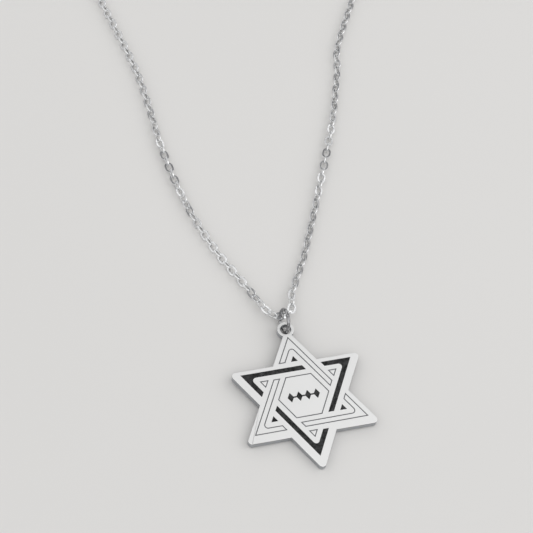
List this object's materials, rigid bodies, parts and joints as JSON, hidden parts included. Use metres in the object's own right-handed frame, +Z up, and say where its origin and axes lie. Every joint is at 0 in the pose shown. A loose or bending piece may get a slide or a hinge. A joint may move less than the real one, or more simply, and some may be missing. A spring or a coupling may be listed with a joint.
{
  "type": "star pendant necklace",
  "caption": "Flat hexagram pendant with interlaced dark inlaid bands and an eye, held by a jump ring on a fine cable chain that closes in a loop with a plain clasp.",
  "frame": {"origin": "centre of the star's bands at the back face of its plate, which lies just above the surface that the necklace rests on", "axes": "+X to the right across the star, +Y along the pendant from its centre to its eye and on up the chain, +Z up from the surface"},
  "size_m": [0.0854, 0.2028, 0.0053],
  "materials": {
    "star_steel": "satin top with fine brushing, polished edges",
    "black_enamel": "slightly sunk black enamel, semi-gloss",
    "ring_steel": "dark grey, semi-polished",
    "chain_steel": "polished silver-coloured steel"
  },
  "bodies": {
    "root": {"star_plate": "star_steel", "band_left": "black_enamel", "band_right": "black_enamel", "band_bottom": "black_enamel", "tip_fill_top": "black_enamel", "tip_fill_left": "black_enamel", "tip_fill_right": "black_enamel", "middle_motif": "black_enamel", "jump_ring": "ring_steel", "chain_right": "chain_steel", "chain_left": "chain_steel", "clasp": "chain_steel"}
  },
  "joints": []
}
